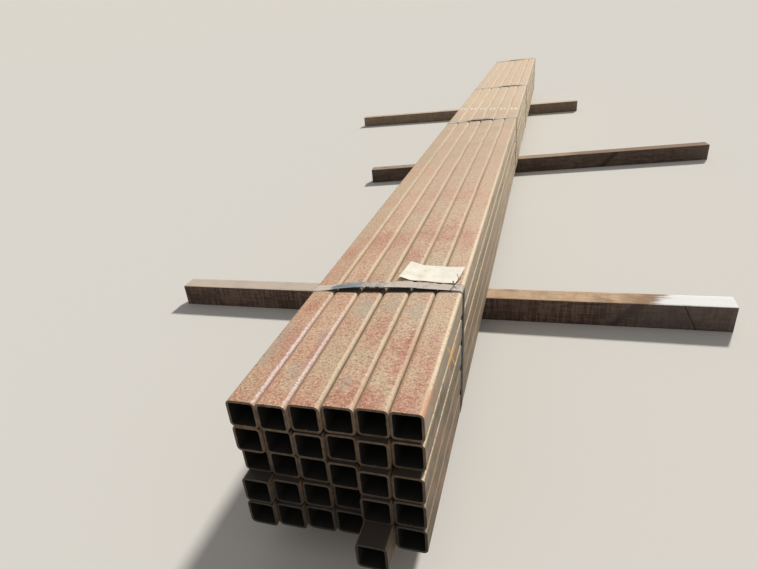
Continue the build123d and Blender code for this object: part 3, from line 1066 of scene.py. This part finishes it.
def sawnTimber(index, box):
    v, look = bearers, timberLooks[index]
    material, add, place = newMaterial(f"roughSawnSoftwood{index + 1}")
    centred = add("VectorMath", [place, box["middle"]], "SUBTRACT")
    own = add("Mapping", {"Vector": centred, "Rotation": (0, 0, -box["turn"])})
    spot = add("SeparateXYZ", [own]).node.outputs
    facing = add("SeparateXYZ", [add("NewGeometry").node.outputs["Normal"]]).node.outputs
    apart = add("VectorMath", [own, [index * step for step in v["noiseStep"]]], "ADD")

    # grain runs along and wanders; the saw left lines across it
    warp = makePatterns(add, apart, v["warps"])["warp"]
    warp = add("Math", [warp, v["warpDeep"]], "MULTIPLY")
    bent = add("VectorMath", [apart, add("CombineXYZ", {"Y": warp, "Z": warp})], "ADD")
    grain, fine = makePatterns(add, bent, v["grains"]).values()
    blotch, saw = makePatterns(add, apart, {"blotch": v["blotch"], "saw": look["saw"]}).values()
    isTop = add("MapRange", [facing["Z"], *v["topFrom"]])
    isSide = add("Math", [1.0, isTop], "SUBTRACT")
    topTone = add("MapRange", [grain, *v["topPaleFrom"]])
    topTone = add("Mix", [topTone, look["top"], look["topPale"]])
    sideTone = add("Math", [saw, look["sawn"], (1 - look["sawn"]) / 2], "MULTIPLY_ADD")
    sideTone = add("Math", [sideTone, grain], "MULTIPLY")
    sideTone = add("MapRange", [sideTone, *v["sidePaleFrom"]])
    sideTone = add("Mix", [sideTone, look["front"], look["frontPale"]])
    layers = [
        (add("MapRange", [blotch, *v["darkFrom"]]), look["front"]),
        (add("MapRange", [fine, *v["lineFrom"]]), v["fineLine"]),
    ]

    # sides: a dark knot that slants down, the last stretch gone grey, a split near the end
    right = add("Math", [spot["X"], v["overhang"] - box["long"] / 2], "ADD")
    knotAt, knotWide = (size * mm for size in look["knot"])
    middle = v["knotBreakUp"] / 2
    away = add("Math", [spot["Z"], v["knotLean"], right], "MULTIPLY_ADD")
    away = add("Math", [away, knotAt - middle], "SUBTRACT")
    away = add("Math", [away], "ABSOLUTE")
    away = add("Math", [blotch, v["knotBreakUp"], away], "MULTIPLY_ADD")
    edge = [middle + knotWide, middle + knotWide * v["knotHeart"]]
    knot = add("MapRange", [away, *edge, 0, v["knotShare"]])
    start = look["greyFrom"] * mm
    greyed = add("MapRange", [right, start, start + v["greyOver"], 0, v["greyShare"]])
    onSides = [(knot, v["knotDark"]), (greyed, v["greyed"])]
    if look["crack"]:
        split = add("Math", [spot["Z"], v["splitLean"], right], "MULTIPLY_ADD")
        split = add("Math", [split, look["crack"] * mm], "SUBTRACT")
        split = add("Math", [split], "ABSOLUTE")
        onSides.append((add("MapRange", [split, *v["splitHalf"]]), v["splitDark"]))

    # top: stained, then sun bleached towards the right end, and pale on the left
    rim = add("Math", [blotch, v["rimBreakUp"], right], "MULTIPLY_ADD")
    edge = [v["stainShift"] + place * mm for place in look["stain"]]
    stained = add("MapRange", [rim, *edge, 0, v["stainShare"]])
    streaked = add("Math", [grain, v["bleachBreakUp"], rim], "MULTIPLY_ADD")
    edge = [look["bleachFrom"] * mm + over for over in v["bleachOver"]]
    bleached = add("MapRange", [streaked, *edge, 0, v["bleachShare"]])
    leftPale = add("MapRange", [rim, *v["leftPaleFrom"], 0, look["leftPale"]])
    onTop = [(stained, v["stained"]), (bleached, look["bleach"]), (leftPale, v["leftPale"])]
    for where, masks in ((isSide, onSides), (isTop, onTop)):
        for mask, shade in masks:
            layers.append((add("Math", [mask, where], "MULTIPLY"), shade))

    # the sawn ends show the year rings
    isEnd = add("Math", [facing["X"]], "ABSOLUTE")
    isEnd = add("MapRange", [isEnd, *v["endFrom"]])
    rings = add("VectorMath", [own, v["ringHeart"]], "ADD")
    rings = add("VectorMath", [rings, (0, 1, 1)], "MULTIPLY")
    rings = add("TexWave", {
        "Vector": rings, "Scale": 1 / (v["ringMm"] * mm), "Distortion": 1.2, "Detail": 2.0,
    }, wave_type="RINGS", rings_direction="SPHERICAL").node.outputs["Fac"]
    layers.append((isEnd, add("Mix", [rings, look["front"], look["topPale"]])))

    colour = add("Mix", [isTop, sideTone, topTone])
    for mask, shade in layers:
        colour = add("Mix", [mask, colour, shade])
    height = add("Math", [grain, fine], "ADD")
    height = add("Math", [saw, v["sawDeep"], height], "MULTIPLY_ADD")
    endMaterial(add, {"Base Color": colour, "Roughness": v["roughness"]}, height, v["bump"])
    return material


# the section of a timber: rounded corners, and enough points between them to roughen
def timberSection(wide, high):
    v = bearers
    radius = v["round"]
    arcs = []
    for number, (side, z) in enumerate(((1, 0), (1, high), (-1, high), (-1, 0))):
        inX, inZ = side * (wide / 2 - radius), min(max(z, radius), high - radius)
        arc = []
        for step in range(v["roundSteps"] + 1):
            angle = math.radians(90 * (number - 1 + step / v["roundSteps"]))
            arc.append((inX + radius * math.cos(angle), inZ + radius * math.sin(angle)))
        arcs.append(arc)
    points = []
    for arc, following in zip(arcs, arcs[1:] + arcs[:1]):
        points += arc
        (x, z), (nextX, nextZ) = arc[-1], following[0]
        for step in range(1, v["sideSteps"]):
            share = step / v["sideSteps"]
            points.append((x + (nextX - x) * share, z + (nextZ - z) * share))
    return points


def makeBearer(index):
    v = bearers
    name = f"bearer_{index + 1}"
    box = bearerFrame(name)
    section = timberSection(box["wide"], box["high"])
    along, across, up = v["roughGrain"]
    stations = int(box["long"] / (v["stationMm"] * mm))
    heart = Vector((0, box["high"] / 2))
    turned = Matrix.Translation(box["middle"]) @ Matrix.Rotation(box["turn"], 4, "Z")
    shell = bmesh.new()
    rings = []
    for station in range(stations + 1):
        x = -box["long"] / 2 + box["long"] * station / stations
        edge = min(x + box["long"] / 2, box["long"] / 2 - x)
        wane = noise.noise(Vector((x * v["waneGrain"], index * 9.1, v["seed"])))
        wane = max(0.0, wane - v["waneFrom"]) * v["waneShare"]
        ring = []
        for y, z in section:
            inward = (heart - Vector((y, z))).normalized()
            bite = 0.5 + 0.5 * noise.noise(Vector((x * along, y * across, z * up + index * 7)))
            depth = v["rough"] * bite
            if z > box["high"] - 1e-6:
                depth *= v["restShare"]
            fromEdge = ((y - box["wide"] / 2) ** 2 + (z - box["high"]) ** 2) ** 0.5
            depth += v["wane"] * wane * max(0.0, 1 - fromEdge / v["waneReach"])
            if edge < v["endRound"]:
                depth += v["endWorn"] * (1 - edge / v["endRound"])
            if z < v["round"] * 1.01:
                inward = Vector((inward.x, 0))  # the underside stays flat
            point = Vector((x, y + inward.x * depth, z + inward.y * depth))
            ring.append(shell.verts.new(turned @ point))
        rings.append(ring)
    count = len(section)
    for near, far in zip(rings, rings[1:]):
        for k in range(count):
            shell.faces.new((near[k], near[(k + 1) % count], far[(k + 1) % count], far[k]))
    shell.faces.new(rings[0])
    shell.faces.new(list(reversed(rings[-1])))
    bmesh.ops.recalc_face_normals(shell, faces=shell.faces)
    for face in shell.faces:
        face.smooth = len(face.verts) == 4
    piece = meshPiece(f"sawnBearer{index + 1}", shell, sawnTimber(index, box))
    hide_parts(name)
    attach(piece, "root")
    print(name, "sawn,", stations, "stations, turned", round(math.degrees(box["turn"]), 2))


for number in range(len(timberLooks)):
    makeBearer(number)


# the paper tag: a thin pale card gone wavy and slightly foxed, its hole near one corner
tag = {
    "wide": 180 * mm,
    "deep": 112 * mm,
    "thick": 0.4 * mm,
    "turnDegrees": -8.0,
    "fromRight": 109 * mm,
    "middleFromNear": 722.5 * mm,
    "waveMm": (9.6, 0.8, 2.2, 0.9, 3.6),  # heights at equal steps from left to right
    "backLift": 4.5 * mm,
    "backCurve": 2.2,
    "crinkle": 0.55 * mm,
    "crinkleGrain": (9, 6),
    "hole": 6 * mm,
    "holeSteps": 24,
    "holeInSide": 9 * mm,
    "holeInFront": 10 * mm,
    "stepMm": 3.0,
    "paper": "#fff8e6",
    "paperShade": "#f6ecd4",
    "stain": "#dccaa6",
    "patterns": {"fibres": (1.6, 1.6, 1.6, 3.0, 0.7), "cloud": (35, 35, 35, 4.0, 0.5)},
    "dampFrom": (0.42, 0.62),
    "stainFrom": (0.64, 0.72, 0, 0.5),
    "fineFrom": (0.55, 0.75, 0, 0.25),
    "roughness": 0.85,
    "bump": (0.35, 0.1 * mm),
}


# height of the card over the tubes at a share of its width and of its depth
def tagHeight(u, w):
    v = tag
    marks = v["waveMm"]
    at = min(max(u, 0.0), 0.9999) * (len(marks) - 1)
    left = int(at)
    ease = 0.5 - 0.5 * math.cos(math.pi * (at - left))
    height = (marks[left] * (1 - ease) + marks[left + 1] * ease) * mm
    sides = 0.35 + 0.65 * abs(2 * u - 0.9)  # the back lifts more at its two corners
    height += v["backLift"] * max(w, 0.0) ** v["backCurve"] * sides
    across, along = v["crinkleGrain"]
    height += v["crinkle"] * (0.5 + 0.5 * noise.noise(Vector((u * across, w * along, 3.3))))
    return height


def cardStock():
    v = tag
    material, add, place = newMaterial("uncoatedCardWeathered")
    fibres, cloud = makePatterns(add, place, v["patterns"]).values()
    darkened = add("MapRange", [cloud, *v["dampFrom"]])
    stain = add("MapRange", [cloud, *v["stainFrom"]])
    fine = add("MapRange", [fibres, *v["fineFrom"]])
    colour = add("Mix", [darkened, v["paper"], v["paperShade"]])
    colour = add("Mix", [stain, colour, v["stain"]])
    colour = add("Mix", [fine, colour, v["paperShade"]])
    endMaterial(add, {"Base Color": colour, "Roughness": v["roughness"]}, fibres, v["bump"])
    return material


def makeTag():
    v = tag
    wide, deep, radius = v["wide"], v["deep"], v["hole"] / 2
    columns, rows = round(wide / (v["stepMm"] * mm)), round(deep / (v["stepMm"] * mm))
    hole = Vector((wide / 2 - v["holeInSide"], -deep / 2 + v["holeInFront"]))
    points, edges = [], []
    for k in range(v["holeSteps"]):
        angle = 2 * math.pi * k / v["holeSteps"]
        points.append(hole + Vector((radius * math.cos(angle), radius * math.sin(angle))))
        edges.append((k, (k + 1) % v["holeSteps"]))
    for row in range(rows + 1):
        for column in range(columns + 1):
            point = Vector((-wide / 2 + wide * column / columns, -deep / 2 + deep * row / rows))
            if (point - hole).length > radius + 0.6 * mm:
                points.append(point)
    flat, _, faces, *_ = delaunay_2d_cdt(points, edges, [], 0, 1e-7)
    kept = []
    for face in faces:
        centre = sum((flat[k] for k in face), Vector((0, 0))) / len(face)
        if (centre - hole).length > radius * 0.98:
            kept.append(face)
    middle = Vector((
        bundle["right"] - v["fromRight"], bundle["near"] + v["middleFromNear"], bundle["top"],
    ))
    turned = Matrix.Translation(middle) @ Matrix.Rotation(math.radians(v["turnDegrees"]), 4, "Z")
    card = bmesh.new()
    lower, upper = [], []
    for x, y in flat:
        height = tagHeight(x / wide + 0.5, y / deep + 0.5)
        lower.append(card.verts.new(turned @ Vector((x, y, height))))
        upper.append(card.verts.new(turned @ Vector((x, y, height + v["thick"]))))
    for face in kept:
        card.faces.new([upper[k] for k in face])
    rim = [edge for edge in card.edges if edge.is_boundary]
    number = {vertex: k for k, vertex in enumerate(upper)}
    for edge in rim:
        one, other = (number[vertex] for vertex in edge.verts)
        card.faces.new((upper[one], lower[one], lower[other], upper[other]))
    for face in kept:
        card.faces.new([lower[k] for k in reversed(face)])
    loose = [vertex for vertex in card.verts if not vertex.link_faces]
    bmesh.ops.delete(card, geom=loose, context="VERTS")
    bmesh.ops.recalc_face_normals(card, faces=card.faces)
    for face in card.faces:
        face.smooth = True
    piece = meshPiece("paperTag", card, cardStock())
    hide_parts("paper_tag")
    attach(piece, "root")
    print("tag made,", len(piece.data.polygons), "faces")


makeTag()


# the tie: soft iron wire through the hole and round the strap, twisted up, its ends splayed
tie = {
    "thick": 1.7 * mm,
    "twists": 2.5,
    "twistLong": 17 * mm,
    "twistLean": (1.18, 0.86),
    "twistSteps": 20,
    "aside": 7.5 * mm,
    "apart": 0.9 * mm,
    "endLong": (14 * mm, 27 * mm),
    "endLean": ((0.70, 0.60), (-0.70, 2.10)),
    "knotUp": 6.2 * mm,
    "inset": 0.6 * mm,
    "stepLong": 0.6 * mm,
    "ringSteps": 10,
    "iron": "#2c2523",
    "ironPale": "#4f4742",
    "patterns": {"cloud": (3, 3, 3, 3.0, 0.5)},
    "roughness": (0.4, 0.7),
    "metallic": 0.8,
}


def annealedWire():
    v = tie
    material, add, place = newMaterial("annealedIronWire")
    cloud = makePatterns(add, place, v["patterns"])["cloud"]
    colour = add("Mix", [cloud, v["iron"], v["ironPale"]])
    rough = add("MapRange", [cloud, 0, 1, *v["roughness"]])
    endMaterial(add, {"Base Color": colour, "Roughness": rough, "Metallic": v["metallic"]})
    return material


# one round wire along a list of points
def roundWireTree(finish):
    tree, add, given = newTree("roundWire", ("Thick",))
    radius = add("Math", [given["Thick"], 0.5], "MULTIPLY")
    line = add("GeometryNodeMeshToCurve", {"Mesh": given["Geometry"]})
    line = add("GeometryNodeCurveSplineType", {"Curve": line}, spline_type="BEZIER")
    line = add("GeometryNodeCurveSetHandles", {"Curve": line}, handle_type="AUTO")
    line = add("GeometryNodeResampleCurve", {
        "Curve": line, "Length": tie["stepLong"],
    }, mode="LENGTH")
    ring = add("GeometryNodeCurvePrimitiveCircle", {
        "Resolution": tie["ringSteps"], "Radius": radius,
    }, mode="RADIUS")
    wire = add("GeometryNodeCurveToMesh", {
        "Curve": line, "Profile Curve": ring, "Fill Caps": True,
    })
    wire = add("GeometryNodeRealizeInstances", {"Geometry": wire})
    wire = add("GeometryNodeSetShadeSmooth", {
        "Geometry": wire, "Shade Smooth": True,
    }, domain="FACE")
    wire = add("GeometryNodeSetMaterial", {"Geometry": wire, "Material": finish})
    add("NodeGroupOutput", {"Geometry": wire})
    return tree


def makeTie():
    v = tie
    low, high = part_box("tag_wire")
    x, y = (low.x + high.x) / 2, (low.y + high.y) / 2
    front, back = low.y + v["inset"], high.y - v["inset"]
    foot, knot = low.z + v["inset"], low.z + v["knotUp"]
    side = v["apart"] / 2

    # up round the back of the hole, over, and down in front of the strap and under it
    start = x + v["aside"]
    loop = [
        (start - side, y + 1 * mm, knot),
        (x - side, back - 3 * mm, knot - 1.2 * mm),
        (x - side, back, knot - 3 * mm),
        (x - side, back - 0.4 * mm, foot),
        (x, y, foot - 0.15 * mm),
        (x + side, front + 0.4 * mm, foot),
        (x + side, front, knot - 3 * mm),
        (x + side, front + 3 * mm, knot - 1.2 * mm),
        (start + side, y - 1 * mm, knot),
    ]
    first, second = [], []
    rise = Vector((*v["twistLean"], 1)).normalized() * v["twistLong"]
    for step in range(v["twistSteps"] + 1):
        share = step / v["twistSteps"]
        turn = 2 * math.pi * v["twists"] * share
        heart = Vector((start, y, knot + 0.5 * mm)) + rise * share
        swing = Vector((math.sin(turn), math.cos(turn), 0)) * side * 1.9
        first.append(tuple(heart + swing))
        second.append(tuple(heart - swing))
    strands = []
    for strand, long, lean in zip((first, second), v["endLong"], v["endLean"]):
        tip = Vector(strand[-1])
        way = Vector((*lean, 1)).normalized()
        bow = Vector((way.y, -way.x, 0)) * 0.8 * mm
        strands.append([
            tuple(tip + way * long * share + bow * math.sin(math.pi * share))
            for share in (0.25, 0.5, 0.75, 1.0)
        ])
    points = list(reversed(strands[0])) + list(reversed(first)) + loop + second + strands[1]
    top = high.z - v["thick"] / 2
    points = [(p[0], p[1], min(p[2], top)) for p in points]
    source = bpy.data.meshes.new("tieLine")
    source.from_pydata(points, [(k, k + 1) for k in range(len(points) - 1)], [])
    wire = roundWireTree(annealedWire())
    piece = bakeTree("twistedTieWire", source, wire, {"Thick": v["thick"]})
    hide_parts("tag_wire")
    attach(piece, "root")
    print("tie made,", len(piece.data.polygons), "faces")


makeTie()


def finish():
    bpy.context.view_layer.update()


finish()
